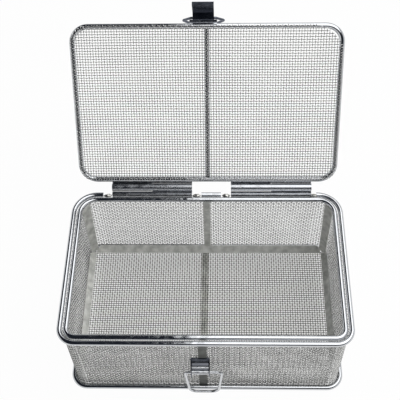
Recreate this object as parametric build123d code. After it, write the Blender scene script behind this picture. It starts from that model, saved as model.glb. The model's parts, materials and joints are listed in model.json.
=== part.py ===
# Wire-mesh sterilization basket with a hinged lid, a front wire catch and a wire handle on the lid.
# Millimetres, +Z up, the front of the basket faces -Y. The origin is on the ground under the middle
# of the floor. The lid is drawn shut and then swung open about its hinge axis, which is its rest pose.
from build123d import *
from math import atan2, cos, degrees, radians, sin, sqrt
import os

os.makedirs("parts", exist_ok=True)

# Basket body, measured to the middle of the mesh walls. The corners are tighter at the foot.
basket_width = 240.0
basket_depth = 145.7
rim_height = 94.7
back_corner_radius = 18.0
front_corner_radius = 11.0
foot_corner_radius = 10.0

# Woven mesh and the coarse net that stands for it
mesh_thickness = 1.0
net_pitch = 10.0
net_bar = 2.4
net_border = 3.0
net_rounded_border = 6.0
net_cut_over = 1.5
corner_net_columns = 2
wall_foot_gap = 1.0
wall_above_rim = 1.0
floor_height = 2.5

# Rods
rim_rod_d = 4.5
bottom_rod_d = 5.0
lid_rod_d = 5.0
crossbar_d = 5.0
rear_rod_left_past_bend = 5.0
rear_rod_right_past_bend = 0.1
middle_rod_gap = 8.7
middle_rod_length = 18.3

# Flat strips inside the basket
strip_thickness = 0.8
corner_strip_top_width = 10.0
corner_strip_foot_width = 9.0
wall_strip_width = 6.6
wall_strip_x = -0.6
floor_strip_on_wall = 5.6
floor_strip_on_floor = 4.1
floor_bar_width = 7.0
floor_bar_x = -2.8

# Clearances
weld_gap = 0.02
turning_gap = 0.05
bare_gap = 0.3

# Hinges, in the two gaps that the rods outside the back wall leave
hinge_back = 7.6
hinge_rise = 5.44
hinge_gap_left = 8.6
hinge_gap_right = 4.9
hinge_gap_middle = 36.2
hinge_split_gap = 0.3
leaf_thickness = 1.1
leaf_drop = 9.0
leaf_past_rod = 0.5

# Lid
lid_open_angle = 121.0
lid_x = 0.8
lid_side_inset = 3.25
lid_front_inset = 3.3
lid_corner_radius = 14.5
lid_mesh_depth = 1.0
lid_rod_to_axis = 8.1
lid_crossbar_x = 0.9

# Wire catch on the front of the basket, in line with the clasp on the lid
strap_x = -2.7
bracket_x = -4.6
catch_x = -1.8
strap_width = 7.0
strap_thickness = 1.0
bracket_width = 16.5
bracket_thickness = 1.0
bracket_above_pivot = 13.7
bracket_below_pivot = 20.0
ear_below_pivot = 4.8
ear_reach = 9.0
ear_step_down = 1.0
ear_top_slope = 7.0
catch_pivot_out = 6.0
catch_ground_gap = 4.05
cross_pin_d = 3.0
cross_pin_out = 2.8
cross_pin_above_pivot = 2.6
sleeve_wall = 0.8
catch_wire_d = 2.5
catch_half_hub = 12.2
catch_half_top = 16.1
catch_half_foot = 12.8
catch_shoulder = 2.4
catch_top_radius = 2.6
catch_foot_radius = 7.0
wire_inset = 4.5

# Clasp and wire handle on the lid
clasp_x = -1.8
base_width = 23.6
base_thickness = 1.0
base_flange = 2.0
base_grip_angle = 50.0
clasp_width = 18.3
clasp_thickness = 1.0
clasp_flat_reach = 11.8
clasp_slope = 58.0
clasp_slope_length = 16.5
lip_length = 3.0
lip_rise = 60.0
lip_gap = 0.2
handle_wire_d = 2.2
handle_length = 25.0
handle_half_hub = 10.6
handle_half_base = 18.1
handle_half_top = 6.5
handle_shoulder = 8.0
handle_base_radius = 2.4
handle_top_radius = 4.5
handle_sleeve_length = 17.6
handle_from_rod = 6.3
handle_lean = 26.0

# Places worked out from the values above
half_width = basket_width / 2
half_depth = basket_depth / 2
half_mesh = mesh_thickness / 2
rim_rod_r = rim_rod_d / 2
bottom_rod_r = bottom_rod_d / 2
lid_rod_r = lid_rod_d / 2
rim_rod_offset = half_mesh + rim_rod_r + weld_gap
bottom_rod_offset = half_mesh + bottom_rod_r + weld_gap
wall_top = rim_height + wall_above_rim
floor_top = floor_height + mesh_thickness
inside_x = half_width - half_mesh
inside_y = half_depth - half_mesh
outside_y = half_depth + half_mesh
hinge_y = half_depth + hinge_back
hinge_z = rim_height + hinge_rise
pin_hole_r = lid_rod_r + weld_gap
barrel_r = pin_hole_r + leaf_thickness
lid_back_y = hinge_y - lid_rod_to_axis
lid_front_y = lid_front_inset - half_depth
lid_mid_y = (lid_back_y + lid_front_y) / 2
lid_width = basket_width - 2 * lid_side_inset
lid_depth = lid_back_y - lid_front_y
lid_hinge_axis = Axis((0, hinge_y, hinge_z), (1, 0, 0))
rear_rod_left_end = back_corner_radius + rear_rod_left_past_bend - half_width
rear_rod_right_end = half_width - back_corner_radius - rear_rod_right_past_bend
hinge_left_start = rear_rod_left_end + hinge_gap_left
hinge_right_end = rear_rod_right_end - hinge_gap_right
hinge_length = (hinge_right_end - hinge_left_start - hinge_gap_middle) / 2
hinge_right_start = hinge_right_end - hinge_length
middle_rod_x = hinge_left_start + hinge_length + middle_rod_gap + middle_rod_length / 2
corners = [("back_right", 1, 1, back_corner_radius), ("back_left", -1, 1, back_corner_radius),
           ("front_left", -1, -1, front_corner_radius), ("front_right", 1, -1, front_corner_radius)]
half_clasp = clasp_thickness / 2
grip_r = lid_rod_r + weld_gap + base_thickness
clasp_z = hinge_z + base_thickness / 2 + weld_gap + half_clasp

written = []


def write(name, solid):
    """Write one sub-part to its own file."""
    solid.label = name
    export_step(solid, "parts/" + name + ".step")
    written.append(name)


def opened(solid):
    """Swing a piece of the lid from the shut place it is drawn in to the open rest pose."""
    return solid.rotate(lid_hinge_axis, -lid_open_angle)


def rod_along(path, diameter):
    """A round rod along a path, its end square to the path."""
    section = Plane(origin=path @ 0, z_dir=path % 0) * Circle(diameter / 2)
    return sweep(section, path=path)


def rod_ring(half_x, half_y, bends, height, diameter):
    """A closed rod that follows a rounded rectangle, its bends counted from the front right one."""
    turns = [(half_x, -half_y, height), (half_x, half_y, height),
             (-half_x, half_y, height), (-half_x, -half_y, height)]
    return rod_along(FilletPolyline(*turns, radius=bends, close=True), diameter)


def straight_rod(start, end, diameter):
    """A straight rod between two points."""
    return rod_along(Line(start, end), diameter)


def rod_along_x(centre, length, diameter):
    """A round rod along X, centred on a point."""
    x, y, z = centre
    return straight_rod((x - length / 2, y, z), (x + length / 2, y, z), diameter)


def tube(centre, length, outer_r, inner_r):
    """A tube along X, centred on a point."""
    ring = Circle(outer_r) - Circle(inner_r)
    middle = Plane(origin=centre, x_dir=(0, 1, 0), z_dir=(1, 0, 0))
    return extrude(middle * ring, length / 2, both=True)


def plate_along_x(outline, x_start, x_end):
    """A sheet piece whose outline is drawn in Y and Z, between two places along X."""
    side = Plane(origin=(x_start, 0, 0), x_dir=(0, 1, 0), z_dir=(1, 0, 0))
    return extrude(side * make_face(Polyline(*outline, close=True)), x_end - x_start)


def upright_box(width, depth, height):
    """A box that stands on the middle of its underside."""
    return Box(width, depth, height, align=(Align.CENTER, Align.CENTER, Align.MIN))


def net(sheet, left, right, height, border):
    """A flat net: a sheet with a grid of square gaps between two places across it."""
    across = int((right - left - 2 * border + net_bar) // net_pitch)
    up = int((height - 2 * border + net_bar) // net_pitch)
    x_step = (right - left - 2 * border + net_bar) / across
    y_step = (height - 2 * border + net_bar) / up
    gap = Pos((left + right) / 2, 0, 0) * Wire.make_rect(x_step - net_bar, y_step - net_bar)
    gaps = [gap.moved(place) for place in GridLocations(x_step, y_step, across, up)]
    return Face(sheet.wire(), gaps)


def rounded_net(width, height, radius):
    """A net in a rounded sheet."""
    sheet = RectangleRounded(width, height, radius)
    return net(sheet, -width / 2, width / 2, height, net_rounded_border)


def wire_loop(half_hub, half_base, half_end, shoulder, length, base_radius, end_radius, wire_d):
    """A wire loop that hangs in -Z from the X axis, along which its two ends are turned inwards."""
    start = wire_inset / 2
    points = [(-start, 0, 0), (-half_hub, 0, 0), (-half_base, 0, -shoulder), (-half_end, 0, -length),
              (half_end, 0, -length), (half_base, 0, -shoulder), (half_hub, 0, 0), (start, 0, 0)]
    radii = [base_radius, base_radius, end_radius, end_radius, base_radius, base_radius]
    return rod_along(FilletPolyline(*points, radius=radii), wire_d)


# Rim rods: one ring inside the mesh, one outside it that leaves room for the hinges
def rim_rods():
    inner_x = half_width - rim_rod_offset
    inner_y = half_depth - rim_rod_offset
    front, back = front_corner_radius - rim_rod_offset, back_corner_radius - rim_rod_offset
    write("rim_inner_rod", rod_ring(inner_x, inner_y, [front, back, back, front], rim_height, rim_rod_d))
    outer_x = half_width + rim_rod_offset
    outer_y = half_depth + rim_rod_offset
    points = [(rear_rod_left_end, outer_y), (-outer_x, outer_y), (-outer_x, -outer_y),
              (outer_x, -outer_y), (outer_x, outer_y), (rear_rod_right_end, outer_y)]
    front, back = front_corner_radius + rim_rod_offset, back_corner_radius + rim_rod_offset
    line = FilletPolyline(*[(x, y, rim_height) for x, y in points], radius=[back, front, front, back])
    write("rim_outer_rod", rod_along(line, rim_rod_d))
    middle = (middle_rod_x, outer_y, rim_height)
    write("rim_outer_rod_back", rod_along_x(middle, middle_rod_length, rim_rod_d))


# Foot ring and the flat bar under the floor
def foot():
    foot_x = half_width + bottom_rod_offset
    foot_y = half_depth + bottom_rod_offset
    foot_bend = foot_corner_radius + bottom_rod_offset
    write("bottom_rod", rod_ring(foot_x, foot_y, foot_bend, bottom_rod_r, bottom_rod_d))
    bar = upright_box(floor_bar_width, 2 * (inside_y - weld_gap), floor_height - weld_gap)
    write("floor_bar", Pos(floor_bar_x, 0, 0) * bar)


def corner_radius_at(rim_radius, height):
    """The radius of a corner at a height: the corners open out evenly from the foot to the rim."""
    share = (height - wall_foot_gap) / (rim_height - wall_foot_gap)
    return foot_corner_radius + (rim_radius - foot_corner_radius) * share


# Mesh walls and floor
def walls():
    height = wall_top - wall_foot_gap
    middle = wall_foot_gap + height / 2
    front_top = corner_radius_at(front_corner_radius, wall_top)
    back_top = corner_radius_at(back_corner_radius, wall_top)
    for name, side, top in (("wall_mesh_front", -1, front_top), ("wall_mesh_back", 1, back_top)):
        place = Plane(origin=(0, half_mesh + side * half_depth, middle), x_dir=(1, 0, 0), z_dir=(0, -1, 0))
        write(name, extrude(place * wall_net(half_width, top, top, height), mesh_thickness))
    for name, side in (("wall_mesh_left", -1), ("wall_mesh_right", 1)):
        place = Plane(origin=(side * half_width - half_mesh, 0, middle), x_dir=(0, 1, 0), z_dir=(1, 0, 0))
        write(name, extrude(place * wall_net(half_depth, front_top, back_top, height), mesh_thickness))
    bends = []
    for corner in corners:
        band = corner_band(corner, -half_mesh, mesh_thickness, wall_foot_gap, wall_top, None)
        bends.append(band - corner_gaps(corner, height))
    write("wall_mesh_corners", Compound(children=bends))


def wall_net(half_wall, left_top, right_top, height):
    """The flat net of a wall between the places where its two corners start to turn."""
    foot_end = half_wall - foot_corner_radius
    left, right = left_top - half_wall, half_wall - right_top
    sheet = make_face(Polyline((-foot_end, -height / 2), (foot_end, -height / 2),
                               (right, height / 2), (left, height / 2), close=True))
    return net(sheet, max(left, -foot_end), min(right, foot_end), height, net_border)


def corner_frame(corner, height):
    """The centre of a corner at a height, its radius there and the direction of its middle."""
    _, x_side, y_side, rim_radius = corner
    radius = corner_radius_at(rim_radius, height)
    centre = (x_side * (half_width - radius), y_side * (half_depth - radius))
    return centre, radius, degrees(atan2(y_side, x_side))


def corner_band(corner, out_of_middle, thickness, low, high, widths):
    """A curved plate that follows a corner: all of its turn, or strips of the given widths low and high."""
    sections = []
    for height, width in zip((low, high), widths or (None, None)):
        centre, radius, middle = corner_frame(corner, height)
        inner_r = radius + out_of_middle
        half_arc = degrees(width / (inner_r + thickness)) / 2 if width else 45
        sections.append(arc_face(centre, inner_r + thickness, inner_r, middle, half_arc, height))
    return loft(sections, ruled=True)


def arc_face(centre, outer_r, inner_r, middle, half_arc, height):
    """The level section of a curved plate between two radii."""
    a, mid, b = radians(middle - half_arc), radians(middle), radians(middle + half_arc)

    def at(r, angle):
        return (centre[0] + r * cos(angle), centre[1] + r * sin(angle), height)

    return make_face([ThreePointArc(at(outer_r, a), at(outer_r, mid), at(outer_r, b)),
                      Line(at(outer_r, b), at(inner_r, b)),
                      ThreePointArc(at(inner_r, b), at(inner_r, mid), at(inner_r, a)),
                      Line(at(inner_r, a), at(outer_r, a))])


def corner_gaps(corner, height):
    """The gaps of the net where it turns a corner, each square to the corner's centre."""
    up = int((height - 2 * net_border + net_bar) // net_pitch)
    z_step = (height - 2 * net_border + net_bar) / up
    first_z = wall_foot_gap + net_border + (z_step - net_bar) / 2
    turn = 90 / corner_net_columns
    gaps = []
    for row in range(up):
        z = first_z + row * z_step
        centre, radius, middle = corner_frame(corner, z)
        gap = Box(mesh_thickness + 2 * net_cut_over, radius * radians(turn) - net_bar, z_step - net_bar)
        for column in range(corner_net_columns):
            angle = middle - 45 + (column + 0.5) * turn
            gaps.append(Pos(*centre, z) * Rot(0, 0, angle) * Pos(radius, 0, 0) * gap)
    return gaps


def floor_net():
    width, depth = 2 * (inside_x - weld_gap), 2 * (inside_y - weld_gap)
    face = rounded_net(width, depth, foot_corner_radius)
    write("floor_mesh", extrude(Pos(0, 0, floor_height) * face, mesh_thickness))


# Flat strips inside: four curved ones in the corners, one up the back wall, four along the floor
def strips():
    under_rod = rim_height - sqrt(rim_rod_r**2 - (rim_rod_r - strip_thickness) ** 2) - weld_gap
    inner_face = -half_mesh - weld_gap - strip_thickness
    widths = (corner_strip_foot_width, corner_strip_top_width)
    for corner in corners:
        strip = corner_band(corner, inner_face, strip_thickness, floor_top + weld_gap, under_rod, widths)
        write("corner_strip_" + corner[0], strip)
    slope = atan2(floor_strip_on_wall, floor_strip_on_floor)
    strip_top = floor_top + floor_strip_on_wall + strip_thickness / cos(slope)
    back = upright_box(wall_strip_width, strip_thickness, under_rod - strip_top - 2 * weld_gap)
    back_y = inside_y - weld_gap - strip_thickness / 2
    write("wall_strip_back", Pos(wall_strip_x, back_y, strip_top + 2 * weld_gap) * back)
    along_x = (inside_y, half_width - foot_corner_radius)
    along_y = (inside_x, half_depth - foot_corner_radius)
    sides = [("front", along_x, 0), ("right", along_y, 90), ("back", along_x, 180), ("left", along_y, 270)]
    floor_z = floor_top + weld_gap
    wall_z = floor_z + floor_strip_on_wall
    for side, (wall, half_length), turn in sides:
        wall_y = -wall + weld_gap
        foot_y = wall_y + floor_strip_on_floor
        outline = [(wall_y, wall_z), (foot_y, floor_z), (foot_y + strip_thickness / sin(slope), floor_z),
                   (wall_y, wall_z + strip_thickness / cos(slope))]
        strip = plate_along_x(outline, -half_length - foot_corner_radius, half_length + foot_corner_radius)
        strip &= mitred_ends(half_length, wall_y)
        write("floor_strip_" + side, strip.rotate(Axis.Z, turn))


def mitred_ends(half_length, wall_y):
    """The room that a floor strip has between the two strips beside it, as an upright block."""
    tip = (foot_corner_radius - half_mesh) / 2 - weld_gap
    plan = [(-half_length, wall_y), (half_length, wall_y), (half_length + tip, wall_y + tip),
            (half_length, wall_y + 2 * tip), (-half_length, wall_y + 2 * tip), (-half_length - tip, wall_y + tip)]
    return extrude(make_face(Polyline(*plan, close=True)), rim_height)


# Hinges: each has a leaf on the basket with one knuckle, a leaf on the lid with the other, and a pin
def hinges():
    basket_relief = hinge_y - sqrt((barrel_r + bare_gap) ** 2 - pin_hole_r**2)
    flange_low = hinge_z - barrel_r
    flange_top = hinge_z - pin_hole_r
    leaf_y = outside_y + weld_gap
    upright = [(leaf_y, flange_low - leaf_drop), (leaf_y + leaf_thickness, flange_low - leaf_drop),
               (leaf_y + leaf_thickness, flange_low), (basket_relief, flange_low),
               (basket_relief, flange_top), (leaf_y, flange_top)]
    web = [(basket_relief, flange_low), (hinge_y, flange_low),
           (hinge_y, flange_top), (basket_relief, flange_top)]
    lid_low = hinge_z + pin_hole_r
    lid_top = hinge_z + barrel_r
    over_rod = [(lid_back_y - leaf_past_rod, lid_low), (basket_relief, lid_low),
                (basket_relief, lid_top), (lid_back_y - leaf_past_rod, lid_top)]
    lid_web = [(basket_relief, lid_low), (hinge_y, lid_low), (hinge_y, lid_top), (basket_relief, lid_top)]
    for side, start in (("left", hinge_left_start), ("right", hinge_right_start)):
        end = start + hinge_length
        knuckle = (hinge_length - hinge_split_gap) / 2
        lid_knuckle_x = start + knuckle / 2
        basket_knuckle_x = end - knuckle / 2
        basket_leaf = plate_along_x(upright, start, end) + plate_along_x(web, end - knuckle, end)
        basket_leaf += tube((basket_knuckle_x, hinge_y, hinge_z), knuckle, barrel_r, pin_hole_r)
        write("hinge_leaf_basket_" + side, basket_leaf)
        lid_leaf = plate_along_x(over_rod, start, end) + plate_along_x(lid_web, start, start + knuckle)
        lid_leaf += tube((lid_knuckle_x, hinge_y, hinge_z), knuckle, barrel_r, pin_hole_r)
        write("hinge_leaf_lid_" + side, opened(lid_leaf))
        pin_d = 2 * (pin_hole_r - turning_gap)
        middle = ((start + end) / 2, hinge_y, hinge_z)
        write("hinge_pin_" + side, rod_along_x(middle, hinge_length, pin_d))


# Lid frame, mesh and crossbar
def lid():
    ring = rod_ring(lid_width / 2, lid_depth / 2, lid_corner_radius, hinge_z, lid_rod_d)
    write("lid_rod", opened(Pos(lid_x, lid_mid_y, 0) * ring))
    inset = sqrt(lid_rod_r**2 - (lid_rod_r - lid_mesh_depth) ** 2) + weld_gap
    face = rounded_net(lid_width - 2 * inset, lid_depth - 2 * inset, lid_corner_radius - inset)
    mesh_low = hinge_z - lid_rod_r
    write("lid_mesh", opened(extrude(Pos(lid_x, lid_mid_y, mesh_low) * face, mesh_thickness)))
    bar_z = mesh_low + mesh_thickness + crossbar_d / 2 + weld_gap
    reach = lid_rod_r + weld_gap
    bar_start = (lid_crossbar_x, lid_front_y + reach, bar_z)
    bar_end = (lid_crossbar_x, lid_back_y - reach, bar_z)
    write("lid_crossbar", opened(straight_rod(bar_start, bar_end, crossbar_d)))


def clasp_bends():
    """Start, bend, fold and lip tip of the clasp plate's middle line over the shut lid, in Y and Z."""
    slope, rise = radians(clasp_slope), radians(lip_rise)
    start = (lid_front_y - grip_r - half_clasp - weld_gap, clasp_z)
    bend = (lid_front_y - clasp_flat_reach, clasp_z)
    fold = (bend[0] - clasp_slope_length * cos(slope), bend[1] - clasp_slope_length * sin(slope))
    tip = (fold[0] - lip_length * cos(rise), fold[1] + lip_length * sin(rise))
    return start, bend, fold, tip


def foot_bend_rise():
    """How far the bends at the foot of the catch wire rise within the width of the clasp plate."""
    past_straight = max(0, clasp_width / 2 - (catch_half_foot - catch_foot_radius))
    return catch_foot_radius - sqrt(catch_foot_radius**2 - past_straight**2)


def wire_seat(fold):
    """Where the middle of the catch wire lies in the fold of the plate, clear of both of its faces."""
    slope, rise = radians(clasp_slope), radians(lip_rise)
    seat = half_clasp + catch_wire_d / 2 + lip_gap + foot_bend_rise()
    face = (-sin(slope), cos(slope))
    lip_face = (sin(rise), cos(rise))
    turn = slope + rise
    along = seat * (1 - cos(turn)) / sin(turn)
    return (fold[0] + along * cos(slope) + seat * face[0], fold[1] + along * sin(slope) + seat * face[1])


def catch_reach(pivot_y, seat):
    """Pivot height, length and swing of a wire that hangs just clear of the ground and reaches its seat."""
    foot = catch_ground_gap + catch_wire_d / 2
    aside, above = seat[0] - pivot_y, seat[1] - foot
    length = (aside**2 + above**2) / (2 * above)
    return foot + length, length, 180 - degrees(atan2(-aside, above - length))


# Wire catch: strap, folded bracket, fixed pin, turning sleeve and the wire itself
def front_catch():
    strap_y = -outside_y - weld_gap
    strap_out = strap_y - strap_thickness
    rim_drop = sqrt(rim_rod_r**2 - (rim_rod_r - strap_thickness) ** 2) + weld_gap
    foot_rise = sqrt(bottom_rod_r**2 - (bottom_rod_r - strap_thickness) ** 2) + weld_gap
    strap_low, strap_high = bottom_rod_r + foot_rise, rim_height - rim_drop
    strap = upright_box(strap_width, strap_thickness, strap_high - strap_low)
    write("latch_strap", Pos(strap_x, (strap_y + strap_out) / 2, strap_low) * strap)

    plate_y = strap_out - weld_gap
    face_y = plate_y - bracket_thickness
    ear_y = face_y - ear_reach
    pivot_y = face_y - catch_pivot_out
    pivot_z, catch_length, swing = catch_reach(pivot_y, wire_seat(clasp_bends()[2]))
    pivot = (bracket_x, pivot_y, pivot_z)
    cross_pin = (bracket_x, face_y - cross_pin_out, pivot_z + cross_pin_above_pivot)
    top, low = pivot_z + bracket_above_pivot, pivot_z - bracket_below_pivot
    ear_low = pivot_z - ear_below_pivot
    inner = bracket_width / 2 - bracket_thickness
    ear_top = top - ear_step_down
    left, right = bracket_x - bracket_width / 2, bracket_x + bracket_width / 2
    back = [(plate_y, low), (plate_y, top), (face_y, top), (face_y, low)]
    ear = [(face_y, ear_low), (face_y, ear_top), (ear_y, ear_top - ear_top_slope), (ear_y, ear_low)]
    bracket = plate_along_x(back, left, right)
    bracket += plate_along_x(ear, left, bracket_x - inner)
    bracket += plate_along_x(ear, bracket_x + inner, right)
    hole_r = catch_wire_d / 2 + turning_gap
    bracket -= rod_along_x(pivot, 2 * bracket_width, 2 * hole_r)
    bracket -= rod_along_x(cross_pin, 2 * bracket_width, cross_pin_d + 2 * weld_gap)
    write("latch_bracket", bracket)
    write("latch_cross_pin", rod_along_x(cross_pin, bracket_width, cross_pin_d))
    write("latch_sleeve", tube(pivot, 2 * (inner - weld_gap), hole_r + sleeve_wall, hole_r))
    catch = wire_loop(catch_half_hub, catch_half_top, catch_half_foot, catch_shoulder, catch_length,
                      catch_top_radius, catch_foot_radius, catch_wire_d)
    catch_pivot = (catch_x, pivot_y, pivot_z)
    write("latch_bail", Pos(*catch_pivot) * catch)
    return catch_pivot, swing


# Clasp on the lid: a clip round the front rod, a folded plate whose lip takes the catch, and a handle
def clasp():
    base_r = lid_rod_r + weld_gap
    rod_y, rod_z = lid_front_y, hinge_z
    side = Plane(origin=(clasp_x - base_width / 2, 0, 0), x_dir=(0, 1, 0), z_dir=(1, 0, 0))
    low = radians(180 + base_grip_angle)
    high = radians(90)
    mid = (low + high) / 2

    def at(r, angle):
        return (rod_y + r * cos(angle), rod_z + r * sin(angle))

    grip = make_face([ThreePointArc(at(grip_r, low), at(grip_r, mid), at(grip_r, high)),
                      Line(at(grip_r, high), at(base_r, high)),
                      ThreePointArc(at(base_r, high), at(base_r, mid), at(base_r, low)),
                      Line(at(base_r, low), at(grip_r, low))])
    flange_half = base_thickness / 2
    flange_back = rod_y - (base_r + grip_r) / 2
    flange_front = rod_y - grip_r - base_flange
    flange = [(flange_back, rod_z - flange_half), (flange_back, rod_z + flange_half),
              (flange_front, rod_z + flange_half), (flange_front, rod_z - flange_half)]
    base = extrude(side * grip, base_width)
    base += plate_along_x(flange, clasp_x - base_width / 2, clasp_x + base_width / 2)
    write("clasp_base", opened(base))

    middle_line = Polyline(*clasp_bends())
    sheet = offset(middle_line, amount=half_clasp, side=Side.BOTH, kind=Kind.INTERSECTION)
    plate_side = Plane(origin=(clasp_x - clasp_width / 2, 0, 0), x_dir=(0, 1, 0), z_dir=(1, 0, 0))
    write("clasp_plate", opened(extrude(plate_side * make_face(sheet), clasp_width)))

    hole_r = handle_wire_d / 2 + turning_gap
    sleeve_r = hole_r + sleeve_wall
    pivot = (clasp_x, rod_y - handle_from_rod, clasp_z + half_clasp + weld_gap + sleeve_r)
    write("lid_bail_sleeve", opened(tube(pivot, handle_sleeve_length, sleeve_r, hole_r)))
    handle = wire_loop(handle_half_hub, handle_half_base, handle_half_top, handle_shoulder, handle_length,
                       handle_base_radius, handle_top_radius, handle_wire_d)
    handle = Pos(*pivot) * handle.rotate(Axis.X, 180 - handle_lean)
    write("lid_bail", opened(handle))
    return pivot


def swung(point):
    """Where a point of the shut lid lies when the lid is open."""
    angle = radians(-lid_open_angle)
    y, z = point[1] - hinge_y, point[2] - hinge_z
    return (point[0], hinge_y + y * cos(angle) - z * sin(angle), hinge_z + y * sin(angle) + z * cos(angle))


rim_rods()
foot()
walls()
floor_net()
strips()
hinges()
lid()
catch_pivot, catch_swing = front_catch()
handle_pivot = clasp()
print(len(written), "nodes; lid hinge at y", hinge_y, "z", hinge_z)
print("catch pivot", catch_pivot, "swing", catch_swing, "handle pivot", swung(handle_pivot))
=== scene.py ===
import json
import math
import bmesh
import bpy
import numpy as np
from mathutils import Matrix, Vector, noise


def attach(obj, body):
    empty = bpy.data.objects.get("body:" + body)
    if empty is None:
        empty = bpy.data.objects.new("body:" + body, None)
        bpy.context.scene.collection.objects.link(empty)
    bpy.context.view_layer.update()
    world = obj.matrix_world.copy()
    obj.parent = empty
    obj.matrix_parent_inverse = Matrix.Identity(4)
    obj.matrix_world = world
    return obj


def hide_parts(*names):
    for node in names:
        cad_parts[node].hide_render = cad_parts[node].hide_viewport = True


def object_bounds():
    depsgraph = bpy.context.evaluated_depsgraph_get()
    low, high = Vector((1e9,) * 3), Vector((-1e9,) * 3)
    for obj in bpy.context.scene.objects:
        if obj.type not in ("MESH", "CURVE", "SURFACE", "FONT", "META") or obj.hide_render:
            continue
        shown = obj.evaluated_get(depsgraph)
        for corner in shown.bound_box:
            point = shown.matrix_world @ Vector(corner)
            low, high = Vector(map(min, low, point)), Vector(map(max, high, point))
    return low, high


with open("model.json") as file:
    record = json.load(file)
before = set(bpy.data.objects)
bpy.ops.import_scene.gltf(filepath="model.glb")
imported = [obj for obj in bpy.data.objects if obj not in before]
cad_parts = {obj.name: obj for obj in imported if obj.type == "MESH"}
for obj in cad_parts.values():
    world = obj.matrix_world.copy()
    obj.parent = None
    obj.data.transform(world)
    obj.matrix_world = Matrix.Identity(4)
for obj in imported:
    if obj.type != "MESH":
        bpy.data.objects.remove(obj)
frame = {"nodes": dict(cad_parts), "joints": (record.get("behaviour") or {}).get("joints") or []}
cad_low, cad_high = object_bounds()
rng = np.random.default_rng(11)

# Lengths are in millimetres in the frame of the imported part, and MM turns them to metres
MM = 0.001
X, Y, Z = 0, 1, 2


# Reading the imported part
def node_points(name):
    """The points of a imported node."""
    node = frame["nodes"][name]
    return np.array([node.matrix_world @ vertex.co for vertex in node.data.vertices]) / MM


def span(points, axis):
    """Where points begin and end along an axis, to a hundredth of a millimetre."""
    return round(float(points[:, axis].min()), 2), round(float(points[:, axis].max()), 2)


def middle(points, axis):
    """The middle of points along an axis, to a hundredth of a millimetre."""
    return round(float(points[:, axis].min() + points[:, axis].max()) / 2, 2)


# Basket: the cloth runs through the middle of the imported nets, and ends between the rods of the rim
FRONT_NET = node_points("wall_mesh_front")
HALF_WIDTH = middle(node_points("wall_mesh_right"), X)
HALF_DEPTH = middle(node_points("wall_mesh_back"), Y)
WALL_FOOT, WALL_TOP = span(FRONT_NET, Z)
FOOT_CORNER = HALF_WIDTH - span(FRONT_NET, X)[1]
FRONT_CORNER, BACK_CORNER = 11.0, 18.0
RIM_HEIGHT = middle(node_points("rim_inner_rod"), Z)
REAR_ROD_Y = middle(node_points("rim_outer_rod_back"), Y)
CLOTH_TOP = RIM_HEIGHT - 1.8
FLOOR_MIDDLE = middle(node_points("floor_mesh"), Z)
FLOOR_INSET = 0.6
FLOOR_HALF_X, FLOOR_HALF_Y = HALF_WIDTH - FLOOR_INSET, HALF_DEPTH - FLOOR_INSET

# Lid hinge: the part is packed with its lid open
LID_JOINT = next(joint for joint in frame["joints"] if joint["name"] == "lid_hinge")
LID_PIVOT = np.array(LID_JOINT["pos_m"]) / MM
LID_OPENING = -math.radians(LID_JOINT["range_deg"][1])


def turned(directions, angle):
    """Directions turned about the line of the hinge pins."""
    cos, sin = math.cos(angle), math.sin(angle)
    return directions @ np.array([[1, 0, 0], [0, cos, -sin], [0, sin, cos]]).T


def swung(points, angle):
    """Points swung about the hinge pins."""
    return turned(points - LID_PIVOT, angle) + LID_PIVOT


# Lid, as it lies when it is shut; its width, depth and corners are those of the rod's middle line
SHUT_LID_ROD = swung(node_points("lid_rod"), -LID_OPENING)
LID_ROD_RADIUS = 2.5
LID_ROD_HEIGHT = middle(SHUT_LID_ROD, Z)
LID_X, LID_Y = middle(SHUT_LID_ROD, X), middle(SHUT_LID_ROD, Y)
LID_HALF_WIDTH = span(SHUT_LID_ROD, X)[1] - LID_X - LID_ROD_RADIUS
LID_HALF_DEPTH = span(SHUT_LID_ROD, Y)[1] - LID_Y - LID_ROD_RADIUS
LID_CORNER = 14.5

# Woven wire cloth: plain weave, each wire kinked over and under the ones that it crosses
WEAVE_PITCH = 2.37
WIRE_RADIUS = 0.34
WIRE_SIDES = 5
WEAVE_LIFT = 0.36
CROSSING_FLAT = 0.38
# How far the painted shade of each knuckle runs on into the gap after it, so that one slope is shaded and
# the other is not
WALL_SKEW, FLOOR_SKEW, LID_SKEW = 0.4, 0.8, 0.1
STANDING_OUT = "standing_out"

# How the wires stray from a true grid: long slow waves that die out towards what holds the cloth,
# and that are shifted from each wall to the next
STRAY = 0.22
U_WAVES, U_BEND = (29, 41), 0.6
V_WAVES, V_BEND = (35, 23), 0.8
STRAY_FADE = 12
TRUE_BELOW_RIM = 4
STRAY_SHIFT = 97

# Cut ends of the wires
WALL_WIRE_START = WALL_FOOT + 0.3
WALL_RAGGED, LID_RAGGED = 0.3, 0.5

# Lid cloth, pressed against the rod and a little way round it
LID_CLOTH_HEIGHT = LID_ROD_HEIGHT - 1.98
LID_CLOTH_LOWEST = LID_ROD_HEIGHT - 2.64
LID_CLOTH_PAST_ROD = 1.9
LID_CLOTH_ROUND_ROD = 2.85
LID_CLOTH_BACK = LID_HALF_DEPTH + 0.3
BARE_CORNER_RADIUS, BARE_CORNER_INSET = 24.0, 3.2
PRESSED_DEPTH, PRESSED_FADE, PRESSED_LIFT = 1.0, 3.0, 0.25

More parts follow.
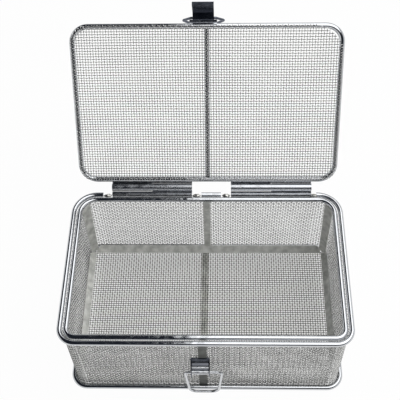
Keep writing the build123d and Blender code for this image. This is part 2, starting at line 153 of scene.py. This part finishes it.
# Weld beads at the cut ends of the outer rod, beside the basket's hinge leaves
LEFT_LEAF = span(node_points("hinge_leaf_basket_left"), X)
RIGHT_LEAF = span(node_points("hinge_leaf_basket_right"), X)
WELD_PLACES = {"weld_rear_rod_left": LEFT_LEAF[0] - 4.3, "weld_hinge_left_inner": LEFT_LEAF[1] + 4.3,
               "weld_hinge_right_inner": RIGHT_LEAF[0] - 4.6, "weld_rear_rod_right": RIGHT_LEAF[1] + 2.5}
WELD_FORWARD, WELD_ABOVE_ROD = 1.4, 0.4
WELD_SIZE = (7.4, 3.6, 3.2)
WELD_LUMPS = ((0.22, 3.1), (0.1, 8.0))
WELD_VARIETY = 0.37

# Camera of the photograph, with angles in radians
CAMERA_PLACE = (15.56, -359.26, 707.39)
CAMERA_YAW, CAMERA_DOWN, CAMERA_ROLL = -0.04899, 0.96029, -0.03987
SENSOR, LENS = 36.0, 72.31
CAMERA_SHIFT = (-0.0024, 0.0014)

# Room: where its pale horizon turns to a dark ceiling, and how much lower that begins at the front,
# as parts of a direction one unit long
CEILING_STARTS, CEILING_FULL = 0.3, 0.5
FRONT_DROP = 0.38
FRONT_FULL, FRONT_STARTS = -0.8, -0.2

# Paper under the basket, in metres; the painted shade under it, which also lets its real shadow show, ends
# at a share of the basket's half width and depth
PAPER_SIZE, PAPER_GAP = 16, 0.0002
WHITE_UNDER_BASKET, WHITE_ROUND_IT = 0.55, 0.97
SHADE_EDGE = (0.9, 1.02)


# Colour and material nodes; the Mix node has sockets of the same name, so its colours go by number
MIX_FIRST, MIX_SECOND, MIX_RESULT = 6, 7, 2


def linear(code):
    """A colour written as sRGB hex, as Blender's linear values."""
    parts = [int(code[i:i + 2], 16) / 255 for i in (1, 3, 5)]
    return [p / 12.92 if p <= 0.04045 else ((p + 0.055) / 1.055) ** 2.4 for p in parts] + [1.0]


def add(tree, kind, inputs=None, **settings):
    """A node with its settings; an input is a value, or a socket to link from."""
    node = tree.nodes.new(kind)
    for name, value in settings.items():
        setattr(node, name, value)
    for name, value in (inputs or {}).items():
        if isinstance(value, bpy.types.NodeSocket):
            tree.links.new(value, node.inputs[name])
        else:
            node.inputs[name].default_value = value
    return node


def metal(name, colour, roughness):
    """A plain bare metal, with its node tree, its shader and the object's own coordinates to vary it by."""
    material = bpy.data.materials.new(name)
    material.use_nodes = True
    tree = material.node_tree
    shader = tree.nodes["Principled BSDF"]
    shader.inputs["Metallic"].default_value = 1.0
    shader.inputs["Base Color"].default_value = linear(colour)
    shader.inputs["Roughness"].default_value = roughness
    place = add(tree, "ShaderNodeTexCoord").outputs["Object"]
    return material, tree, shader, place


def speckle(tree, place, size, detail=3.0, stretch=(1, 1, 1)):
    """Noise whose patches are about size millimetres across, drawn out along an axis by stretch."""
    mapped = add(tree, "ShaderNodeMapping", {"Vector": place, "Scale": stretch}).outputs["Vector"]
    inputs = {"Vector": mapped, "Scale": 1 / (size * MM), "Detail": detail}
    return add(tree, "ShaderNodeTexNoise", inputs).outputs["Fac"]


def ranged(tree, value, low, high, start=0.3, end=0.7):
    """A value that goes from low to high as another goes from start to end."""
    inputs = {"Value": value, "From Min": start, "From Max": end, "To Min": low, "To Max": high}
    return add(tree, "ShaderNodeMapRange", inputs).outputs["Result"]


def tinted(tree, factor, first, second):
    """Two colours mixed by a factor."""
    mix = add(tree, "ShaderNodeMix", {"Factor": factor}, data_type="RGBA")
    mix.inputs[MIX_FIRST].default_value = linear(first)
    mix.inputs[MIX_SECOND].default_value = linear(second)
    return mix.outputs[MIX_RESULT]


def bumped(tree, shader, height, depth):
    """Relief of a real depth in millimetres."""
    bump = add(tree, "ShaderNodeBump", {"Height": height, "Distance": depth * MM})
    tree.links.new(bump.outputs["Normal"], shader.inputs["Normal"])


# Finishes
def electropolished_rod():
    """Stainless rod, electropolished: mirror-like, a little wavy where it was straightened."""
    material, tree, shader, place = metal("electropolished_stainless_rod", "#C6C8CB", 0.09)
    haze = speckle(tree, place, size=3.0)
    tree.links.new(ranged(tree, haze, 0.05, 0.17), shader.inputs["Roughness"])
    bumped(tree, shader, speckle(tree, place, size=9.0, detail=1.0), depth=0.12)
    return material


def woven_stainless(name, knuckle, hollow):
    """Stainless wire cloth with painted shade and highlight: dark where a wire stands out over another, and
    bright where it dips under.
    """
    material, tree, shader, place = metal(name, hollow, 0.16)
    out = add(tree, "ShaderNodeAttribute", attribute_name=STANDING_OUT).outputs["Fac"]
    patches = ranged(tree, speckle(tree, place, size=28.0), -0.12, 0.12)
    # Random patches move the painted shade a little from place to place
    painted_shade_and_patches = add(tree, "ShaderNodeMath", {0: out, 1: patches}, operation="ADD").outputs[0]
    standing = ranged(tree, painted_shade_and_patches, 0, 1, start=-0.1, end=0.5)
    tree.links.new(tinted(tree, standing, hollow, knuckle), shader.inputs["Base Color"])
    return material


def rolled_strip(name, smudged, clean):
    """Cold-rolled stainless strip: a matt, frosted mill finish, a little wavy and smudged by welding."""
    material, tree, shader, place = metal(name, clean, 0.5)
    shader.inputs["Metallic"].default_value = 0.25
    smudges = speckle(tree, place, size=7.0)
    colour = tinted(tree, ranged(tree, smudges, 0, 1), smudged, clean)
    tree.links.new(colour, shader.inputs["Base Color"])
    tree.links.new(ranged(tree, smudges, 0.6, 0.46), shader.inputs["Roughness"])
    bumped(tree, shader, speckle(tree, place, size=20.0, detail=2.0), depth=0.03)
    return material


def pressed_sheet(name, colour):
    """Stainless sheet, folded and polished on a wheel: glossy, with fine scratches across the folds."""
    material, tree, shader, place = metal(name, colour, 0.2)
    cloud = speckle(tree, place, size=6.0)
    tree.links.new(ranged(tree, cloud, 0.14, 0.3), shader.inputs["Roughness"])
    scratches = speckle(tree, place, size=0.8, detail=2.0, stretch=(1.0, 0.05, 0.05))
    bumped(tree, shader, scratches, depth=0.007)
    return material


def weld_metal():
    """Weld bead: rippled, with the straw and brown tint of the heat."""
    material, tree, shader, place = metal("heat_tinted_weld", "#A9A59C", 0.26)
    tint = ranged(tree, speckle(tree, place, size=1.6), 0, 1)
    tree.links.new(tinted(tree, tint, "#7A7772", "#E0E0DC"), shader.inputs["Base Color"])
    bumped(tree, shader, speckle(tree, place, size=0.9), depth=0.15)
    return material


# Mesh building
def place_piece(name, mesh, material, body, replaces=()):
    """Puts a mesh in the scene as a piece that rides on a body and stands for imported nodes."""
    mesh.materials.append(material)
    piece = bpy.data.objects.new(name, mesh)
    bpy.context.scene.collection.objects.link(piece)
    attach(piece, body)
    if replaces:
        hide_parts(*replaces)


def cloth_mesh(name, points, faces, outs):
    """A smooth-shaded mesh from points, groups of faces, and how far each point stands out of the cloth,
    which sets the wire's painted shade.
    """
    mesh = bpy.data.meshes.new(name)
    loops = np.concatenate([group.ravel() for group in faces])
    sizes = np.concatenate([np.full(len(group), group.shape[1]) for group in faces])
    mesh.vertices.add(len(points))
    mesh.vertices.foreach_set("co", (points * MM).astype(np.float32).ravel())
    mesh.loops.add(len(loops))
    mesh.loops.foreach_set("vertex_index", loops.astype(np.int32))
    mesh.polygons.add(len(sizes))
    mesh.polygons.foreach_set("loop_start", (np.cumsum(sizes) - sizes).astype(np.int32))
    mesh.polygons.foreach_set("use_smooth", np.ones(len(sizes), bool))
    mesh.update(calc_edges=True)
    standing = mesh.attributes.new(STANDING_OUT, "FLOAT", "POINT")
    standing.data.foreach_set("value", outs.astype(np.float32))
    return mesh


def wire_rings(line, normals):
    """The rings of points round a wire; normals say which way is out of the cloth."""
    along = np.gradient(line, axis=0)
    along /= np.linalg.norm(along, axis=1)[:, None]
    side = np.cross(along, normals)
    side /= np.linalg.norm(side, axis=1)[:, None]
    out = np.cross(side, along)
    turns = np.arange(WIRE_SIDES) * 2 * math.pi / WIRE_SIDES
    rings = np.cos(turns)[None, :, None] * out[:, None] + np.sin(turns)[None, :, None] * side[:, None]
    return line[:, None] + WIRE_RADIUS * rings


def cloth_piece(name, wires, material, body, replaces=()):
    """One piece of wire cloth: each wire is a closed round tube with capped ends."""
    points, outs, quads, caps, first = [], [], [], [], 0
    corner = np.arange(WIRE_SIDES)
    facing_out = np.cos(corner * 2 * math.pi / WIRE_SIDES)
    following = np.roll(corner, -1)
    quad = np.stack([corner, following, following + WIRE_SIDES, corner + WIRE_SIDES], 1)
    for line, normals, humps in wires:
        points.append(wire_rings(line, normals).reshape(-1, 3))
        # The painted shade follows the humps on the side of each wire that faces out of the cloth, and turns
        # the other way on the side that faces in
        outs.append((humps[:, None] * facing_out).ravel())
        spans = np.arange(len(line) - 1) * WIRE_SIDES
        quads.append((first + spans[:, None, None] + quad[None]).reshape(-1, 4)[:, ::-1])
        last = first + (len(line) - 1) * WIRE_SIDES
        caps.append(np.stack([first + corner, (last + corner)[::-1]]))
        first = last + WIRE_SIDES
    faces = [np.concatenate(quads), np.concatenate(caps)]
    mesh = cloth_mesh(name, np.concatenate(points), faces, np.concatenate(outs))
    place_piece(name, mesh, material, body, replaces)


# Weaving
def crimp(crossings, parity, start, end, skew):
    """Places along one wire, its lift over or under each wire that it crosses, and its humps.

    The humps set the wire's painted shade and highlight by how far it stands out, and skew draws each on
    into the next gap as painted shade on one slope.
    """
    gaps = np.append((crossings[1:] + crossings[:-1]) / 2, (crossings[-1] + end) / 2)
    knees = np.stack([crossings - CROSSING_FLAT, crossings + CROSSING_FLAT, gaps], 1).ravel()
    side = np.where(parity % 2, -1.0, 1.0)
    lift = np.stack([side, side, 0 * side], 1).ravel()
    humps = np.stack([side, side, skew * side], 1).ravel()
    return np.pad(knees, 1, constant_values=(start, end)), np.pad(lift, 1) * WEAVE_LIFT, np.pad(humps, 1)


def crossed(places, start, end):
    """The numbers of the wires that a wire crosses between its ends."""
    return np.flatnonzero((places > start + CROSSING_FLAT) & (places < end - CROSSING_FLAT))


def cloth_wires(u_places, v_places, u_ends, v_ends, surface, skew):
    """The wires of a plain weave, those along u first.

    The ends of a wire are a function of its place, and surface turns u, v and lift into points and normals.
    """
    along_u, along_v = [], []
    for j, v in enumerate(v_places):
        start, end = u_ends(v)
        met = crossed(u_places, start, end)
        along, lift, humps = crimp(u_places[met], met + j, start, end, skew)
        along_u.append((*surface(along, np.full_like(along, v), lift), humps))
    for k, u in enumerate(u_places):
        start, end = v_ends(u)
        met = crossed(v_places, start, end)
        along, lift, humps = crimp(v_places[met], met + k + 1, start, end, -skew)
        along_v.append((*surface(np.full_like(along, u), along, lift), humps))
    return along_u, along_v


def pitch_places(start, end):
    """Evenly spaced wires between two edges, half a pitch in from each."""
    count = round((end - start) / WEAVE_PITCH)
    return start + (np.arange(count) + 0.5) * (end - start) / count


def rounded_half_width(half_x, half_y, radius, y):
    """Half the width of a rounded rectangle at a height y."""
    over = np.clip(np.abs(y) - (half_y - radius), 0, radius)
    return half_x - radius + np.sqrt(radius**2 - over**2)


def depth_inside(x, y, half_x, half_y, radius):
    """How far a point lies inside the outline of a rounded rectangle."""
    over_x, over_y = np.abs(x) - (half_x - radius), np.abs(y) - (half_y - radius)
    beyond = np.hypot(np.maximum(over_x, 0), np.maximum(over_y, 0))
    return radius - beyond - np.minimum(np.maximum(over_x, over_y), 0)


def wander(u, v):
    """How far the wires stray from a true grid, along u and along v."""
    stray_u = np.sin(v / U_WAVES[0] + U_BEND * np.sin(u / U_WAVES[1]))
    stray_v = np.sin(u / V_WAVES[0] + V_BEND * np.sin(v / V_WAVES[1]))
    return STRAY * stray_u, STRAY * stray_v


# Wall cloth: one band round the basket, whose corners are tighter at the foot than at the rim
CORNERS = (("front_right", 1, -1, FRONT_CORNER), ("back_right", 1, 1, BACK_CORNER),
           ("back_left", -1, 1, BACK_CORNER), ("front_left", -1, -1, FRONT_CORNER))


def corner_at(rim_radius, z):
    """The radius of a corner at a height."""
    return FOOT_CORNER + (rim_radius - FOOT_CORNER) * (z - WALL_FOOT) / (RIM_HEIGHT - WALL_FOOT)


def corner_surface(corner, run, z, lift):
    """A point of a corner: run goes from 0 to 1 over the part that is curved at the top of the wall."""
    index = CORNERS.index(corner)
    _, x_side, y_side, rim_radius = corner
    radius = corner_at(rim_radius, z)
    flat = corner_at(rim_radius, WALL_TOP) - radius
    gone = run * (2 * flat + radius * math.pi / 2)
    turn = np.clip((gone - flat) / radius, 0, math.pi / 2)
    heading = turn + index * math.pi / 2
    out = np.stack([np.sin(heading), -np.cos(heading)], -1)
    on = np.stack([np.cos(heading), np.sin(heading)], -1)
    past = gone - flat - turn * radius
    centre = np.stack([x_side * (HALF_WIDTH - radius), y_side * (HALF_DEPTH - radius)], -1)
    normal = np.column_stack([out, np.zeros(len(out))])
    place = centre + out * radius[:, None] + on * past[:, None]
    return np.column_stack([place, z]) + normal * lift[:, None], normal


def wall_surface(side, u, z, lift):
    """A point of a flat wall; side counts from the front, anticlockwise, and u runs the same way."""
    stray_u, stray_z = wander(u + STRAY_SHIFT * side, z)
    free = np.clip((WALL_TOP - TRUE_BELOW_RIM - z) / STRAY_FADE, 0, 1)
    heading = side * math.pi / 2
    out = np.array([math.sin(heading), -math.cos(heading), 0])
    on = np.array([math.cos(heading), math.sin(heading), 0])
    away = HALF_WIDTH if side % 2 else HALF_DEPTH
    line = on * (u + stray_u * free)[:, None] + out * (away + lift)[:, None]
    line[:, Z] = z + stray_z * free
    return line, np.tile(out, (len(u), 1))


def upright_ends(_):
    """Where any upright wire of the walls begins, and where it is cut off between the rods of the rim."""
    return WALL_WIRE_START, CLOTH_TOP + WALL_RAGGED * rng.random()


def wall_cloth(darker_shaded, woven):
    """The flat walls, whose level wires take the darker copy of the wire finish as painted shade, and the
    four corners.
    """
    rows = pitch_places(WALL_FOOT, CLOTH_TOP)
    for side, name in enumerate(("front", "right", "back", "left")):
        before, after = CORNERS[side - 1][3], CORNERS[side][3]
        away = HALF_DEPTH if side % 2 else HALF_WIDTH
        start, end = corner_at(before, WALL_TOP) - away, away - corner_at(after, WALL_TOP)
        places = pitch_places(start, end)
        rings, uprights = cloth_wires(places, rows, lambda z: (start, end), upright_ends,
                                      lambda u, z, lift: wall_surface(side, u, z, lift), WALL_SKEW)
        cloth_piece("wall_cloth_" + name + "_level", rings, darker_shaded, "root", ["wall_mesh_" + name])
        cloth_piece("wall_cloth_" + name + "_upright", uprights, woven, "root")
    for corner in CORNERS:
        arc = corner_at(corner[3], WALL_TOP) * math.pi / 2
        rings, uprights = cloth_wires(pitch_places(0, arc), rows, lambda z: (0, arc), upright_ends,
                                      lambda u, z, lift: corner_surface(corner, u / arc, z, lift), WALL_SKEW)
        replaced = ["wall_mesh_corners"] if corner is CORNERS[0] else []
        cloth_piece("corner_cloth_" + corner[0], rings + uprights, woven, "root", replaced)


# Floor cloth: flat, with rounded corners
def floor_surface(x, y, lift):
    """A point of the floor cloth."""
    stray_x, stray_y = wander(x, y)
    free = np.clip(depth_inside(x, y, FLOOR_HALF_X, FLOOR_HALF_Y, FOOT_CORNER) / STRAY_FADE, 0, 1)
    line = np.column_stack([x + stray_x * free, y + stray_y * free, FLOOR_MIDDLE + lift])
    return line, np.tile([0.0, 0.0, 1.0], (len(x), 1))


def floor_cloth(darker_shaded, woven):
    """The floor, whose lengthways wires take the darker copy of the wire finish as painted shade."""
    across = pitch_places(-FLOOR_HALF_X, FLOOR_HALF_X)
    deep = pitch_places(-FLOOR_HALF_Y, FLOOR_HALF_Y)

    def x_ends(y):
        reach = rounded_half_width(FLOOR_HALF_X, FLOOR_HALF_Y, FOOT_CORNER, y)
        return -reach, reach

    def y_ends(x):
        reach = rounded_half_width(FLOOR_HALF_Y, FLOOR_HALF_X, FOOT_CORNER, x)
        return -reach, reach

    along_x, along_y = cloth_wires(across, deep, x_ends, y_ends, floor_surface, FLOOR_SKEW)
    cloth_piece("floor_cloth_lengthways", along_x, darker_shaded, "root", ["floor_mesh"])
    cloth_piece("floor_cloth_crossways", along_y, woven, "root")


# Lid cloth: drawn on the shut lid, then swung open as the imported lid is
def lid_surface(x, y, lift):
    """A point of the lid cloth, which lies under the lid rod and a little way round it."""
    depth = depth_inside(x, y, LID_HALF_WIDTH, LID_HALF_DEPTH, LID_CORNER)
    stray_x, stray_y = wander(x, y)
    free = np.clip(depth / STRAY_FADE, 0, 1)
    round_rod = LID_ROD_HEIGHT - np.sqrt(np.clip(LID_CLOTH_ROUND_ROD**2 - depth**2, 0, None))
    near_rod = np.clip(round_rod, LID_CLOTH_LOWEST, LID_CLOTH_HEIGHT)
    height = np.where(depth < LID_CLOTH_ROUND_ROD, near_rod, LID_CLOTH_HEIGHT)
    lift = lift * np.clip((depth - PRESSED_DEPTH) / PRESSED_FADE, PRESSED_LIFT, 1)
    line = np.column_stack([LID_X + x + stray_x * free, LID_Y + y + stray_y * free, height - lift])
    return swung(line, LID_OPENING), turned(np.tile([0.0, 0.0, -1.0], (len(x), 1)), LID_OPENING)


def lid_cloth(darker_shaded, woven):
    """The lid, whose cloth is cut back from the hinges and, on the right, from the front corner."""
    half_x, half_y = LID_HALF_WIDTH + LID_CLOTH_PAST_ROD, LID_HALF_DEPTH + LID_CLOTH_PAST_ROD
    corner = LID_CORNER + LID_CLOTH_PAST_ROD
    across, deep = pitch_places(-half_x, half_x), pitch_places(-half_y, half_y)
    deep = deep[deep < LID_CLOTH_BACK]

    def ragged():
        return LID_RAGGED * rng.random()

    def x_ends(y):
        left = rounded_half_width(half_x, half_y, corner, y)
        right = left
        if y < 0:
            right = min(left, rounded_half_width(half_x, half_y - BARE_CORNER_INSET, BARE_CORNER_RADIUS, y))
        return ragged() - left, right - ragged()

    def y_ends(x):
        back = rounded_half_width(half_y, half_x, corner, x)
        front = back
        if x > 0:
            front = min(back, rounded_half_width(half_y, half_x - BARE_CORNER_INSET, BARE_CORNER_RADIUS, x))
        return ragged() - front, min(back, LID_CLOTH_BACK) - ragged()

    along_x, along_y = cloth_wires(across, deep, x_ends, y_ends, lid_surface, LID_SKEW)
    cloth_piece("lid_cloth_lengthways", along_x, darker_shaded, "lid", ["lid_mesh"])
    cloth_piece("lid_cloth_crossways", along_y, woven, "lid")


# Weld beads
def weld_bead(name, place, material):
    """A lumpy bead of weld metal, centred on a place."""
    mesh = bpy.data.meshes.new(name)
    lump = bmesh.new()
    bmesh.ops.create_icosphere(lump, subdivisions=4, radius=0.5)
    shift = Vector(place) * WELD_VARIETY
    for vertex in lump.verts:
        swell = 1 + sum(height * noise.noise(vertex.co * count + shift) for height, count in WELD_LUMPS)
        vertex.co = Vector(c * s * swell * MM for c, s in zip(vertex.co, WELD_SIZE)) + Vector(place) * MM
    for face in lump.faces:
        face.smooth = True
    lump.to_mesh(mesh)
    lump.free()
    place_piece(name, mesh, material, "root")


def weld_beads(material):
    """The beads at the cut ends of the outer rod, beside the hinge leaves."""
    for name, x in WELD_PLACES.items():
        weld_bead(name, (x, REAR_ROD_Y - WELD_FORWARD, RIM_HEIGHT + WELD_ABOVE_ROD), material)


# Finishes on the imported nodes
def dress_nodes(finishes, special):
    """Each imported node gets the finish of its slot, or one of its own."""
    for name, node in frame["nodes"].items():
        for place in node.material_slots:
            slot = place.material.name.split(".")[0]
            place.material = special.get(name, finishes[slot])


# Studio
def camera():
    """The camera that took the photograph, as it was fitted to the basket's rods."""
    forward = Vector((math.sin(CAMERA_YAW) * math.cos(CAMERA_DOWN),
                      math.cos(CAMERA_YAW) * math.cos(CAMERA_DOWN), -math.sin(CAMERA_DOWN)))
    level = Vector((math.cos(CAMERA_YAW), -math.sin(CAMERA_YAW), 0))
    upright = level.cross(forward)
    right = math.cos(CAMERA_ROLL) * level + math.sin(CAMERA_ROLL) * upright
    up = math.cos(CAMERA_ROLL) * upright - math.sin(CAMERA_ROLL) * level
    data = bpy.data.cameras.new("camera")
    data.sensor_width, data.lens = SENSOR, LENS
    data.shift_x, data.shift_y = CAMERA_SHIFT
    eye = bpy.data.objects.new("camera", data)
    axes = Matrix((right, up, -forward)).transposed().to_4x4()
    eye.matrix_world = Matrix.Translation(Vector(CAMERA_PLACE) * MM) @ axes
    bpy.context.scene.collection.objects.link(eye)
    bpy.context.scene.camera = eye


def softbox(name, low, high, height, radiance):
    """A large level lamp that faces down, between two corners in metres."""
    lamp = bpy.data.lights.new(name, "AREA")
    lamp.shape = "RECTANGLE"
    lamp.size, lamp.size_y = high[0] - low[0], high[1] - low[1]
    lamp.energy = radiance * math.pi * lamp.size * lamp.size_y
    box = bpy.data.objects.new(name, lamp)
    box.location = ((low[0] + high[0]) / 2, (low[1] + high[1]) / 2, height)
    bpy.context.scene.collection.objects.link(box)


def surroundings():
    """A pale room round the horizon that darkens to navy overhead, and lower down at the front."""
    world = bpy.data.worlds.new("room")
    bpy.context.scene.world = world
    world.use_nodes = True
    tree = world.node_tree
    direction = add(tree, "ShaderNodeTexCoord").outputs["Generated"]
    parts = add(tree, "ShaderNodeSeparateXYZ", {"Vector": direction}).outputs
    lowered = ranged(tree, parts["Y"], FRONT_DROP, 0, FRONT_FULL, FRONT_STARTS)
    height = add(tree, "ShaderNodeMath", {0: parts["Z"], 1: lowered}, operation="ADD").outputs[0]
    overhead = ranged(tree, height, 0, 1, CEILING_STARTS, CEILING_FULL)
    colour = tinted(tree, overhead, "#F4F5F6", "#20252D")
    tree.links.new(colour, tree.nodes["Background"].inputs["Color"])
    tree.nodes["Background"].inputs["Strength"].default_value = 1.0


def seen_or_mirrored(tree):
    """1 for what the camera sees of the paper, directly or mirrored in metal, and 0 for other light."""
    rays = add(tree, "ShaderNodeLightPath").outputs
    either = rays["Is Camera Ray"]
    for other in ("Is Glossy Ray", "Is Transmission Ray"):
        either = add(tree, "ShaderNodeMath", {0: either, 1: rays[other]}, operation="MAXIMUM").outputs[0]
    return either


def white_share(tree):
    """The share of plain white in what is seen of the paper: less under the basket as painted shade, which
    also lets the basket's real shadow show more.
    """
    spot = add(tree, "ShaderNodeTexCoord").outputs["Object"]
    basket = (HALF_WIDTH * MM, HALF_DEPTH * MM, 1)
    spot = add(tree, "ShaderNodeVectorMath", {0: spot, 1: basket}, operation="DIVIDE").outputs[0]
    spot = add(tree, "ShaderNodeVectorMath", {0: spot}, operation="ABSOLUTE").outputs[0]
    parts = add(tree, "ShaderNodeSeparateXYZ", {"Vector": spot}).outputs
    reach = add(tree, "ShaderNodeMath", {0: parts["X"], 1: parts["Y"]}, operation="MAXIMUM").outputs[0]
    return ranged(tree, reach, WHITE_UNDER_BASKET, WHITE_ROUND_IT, *SHADE_EDGE)


def studio_floor():
    """White paper that keeps the shadow of the basket, with painted shade added under its floor."""
    bpy.ops.mesh.primitive_plane_add(size=PAPER_SIZE, location=(0, 0, cad_low.z - PAPER_GAP))
    floor = bpy.context.object
    floor.name = "studio_floor"
    material = bpy.data.materials.new("white_paper_sweep")
    material.use_nodes = True
    tree = material.node_tree
    tree.nodes.clear()
    factors = {0: seen_or_mirrored(tree), 1: white_share(tree)}
    share = add(tree, "ShaderNodeMath", factors, operation="MULTIPLY").outputs[0]
    paper = add(tree, "ShaderNodeBsdfDiffuse", {"Color": linear("#F6F6F5")}).outputs[0]
    white = add(tree, "ShaderNodeEmission", {"Color": linear("#FFFFFF"), "Strength": 1.0}).outputs[0]
    both = add(tree, "ShaderNodeMixShader", {0: share, 1: paper, 2: white}).outputs[0]
    add(tree, "ShaderNodeOutputMaterial", {"Surface": both})
    floor.data.materials.append(material)


rod_finish = electropolished_rod()
# One stainless wire in two copies: the darker is painted shade for the wires along the width and the level
# wires of the walls, the lighter is for the wires that cross them
darker_shaded_finish = woven_stainless("woven_stainless_wire_painted_shade_darker", "#161616", "#F4F4F2")
lighter_shaded_finish = woven_stainless("woven_stainless_wire_painted_shade_lighter", "#6C6C6A", "#FFFFFE")
# Darker copies for the floor, as painted shade inside the basket
floor_darker_shaded_finish = woven_stainless("floor_stainless_wire_painted_shade_darker", "#1E1E1D", "#C4C4C0")
floor_lighter_shaded_finish = woven_stainless("floor_stainless_wire_painted_shade_lighter", "#3C3C3B", "#F0F0EC")
strip_finish = rolled_strip("cold_rolled_stainless_strip", "#C8C9C3", "#FFFFFA")
# Latch strap: dark colours as painted shade, with the same random smudges
shaded_strip_finish = rolled_strip("stainless_strip_painted_shade", "#5C5E5A", "#70726E")
sheet_finish = pressed_sheet("wheel_polished_stainless_sheet", "#BBBDC1")
# Latch bracket, clasp plate and lid bail: a dark colour as painted shade and painted dark reflection
shaded_sheet_finish = pressed_sheet("stainless_sheet_painted_shade", "#5C606A")
dress_nodes({"polished_rod": rod_finish, "pressed_sheet": sheet_finish, "flat_strip": strip_finish,
             "woven_mesh": lighter_shaded_finish},
            {"latch_strap": shaded_strip_finish, "latch_bracket": shaded_sheet_finish,
             "clasp_plate": shaded_sheet_finish, "lid_bail": shaded_sheet_finish})
wall_cloth(darker_shaded_finish, lighter_shaded_finish)
floor_cloth(floor_darker_shaded_finish, floor_lighter_shaded_finish)
lid_cloth(darker_shaded_finish, lighter_shaded_finish)
weld_beads(weld_metal())
camera()
softbox("softbox_right", low=(-0.075, -1.3), high=(1.9, 1.5), height=1.5, radiance=2.0)
surroundings()
studio_floor()
bpy.context.scene.view_settings.view_transform = "Standard"
